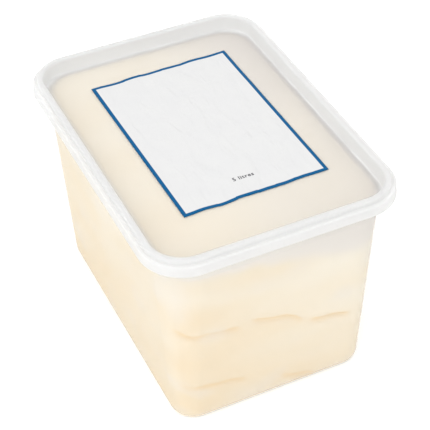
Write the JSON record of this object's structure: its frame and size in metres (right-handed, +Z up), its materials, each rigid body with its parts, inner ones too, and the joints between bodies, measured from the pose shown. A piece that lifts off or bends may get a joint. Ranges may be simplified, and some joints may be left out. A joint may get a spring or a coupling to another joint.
{
  "type": "ice cream tub",
  "caption": "Rectangular translucent plastic tub full of vanilla ice cream, with a shut press-fit lid, a stacking recess and a bordered paper label.",
  "frame": {"origin": "centre of the tub's base, on the surface that it stands on", "axes": "+Z up through the lid, +Y along the tub's long side, +X across it; the label's words read along +X"},
  "size_m": [0.18, 0.247, 0.1643],
  "materials": {
    "tub_plastic": "translucent natural polypropylene, injection moulded, satin gloss",
    "lid_plastic": "translucent natural polypropylene, injection moulded, satin gloss",
    "label_paper": "printed paper, white with a blue border",
    "ice_cream": "frozen vanilla ice cream, pale cream"
  },
  "bodies": {
    "root": {"tub": "tub_plastic", "lid": "lid_plastic", "label": "label_paper", "ice_cream": "ice_cream"}
  },
  "joints": []
}
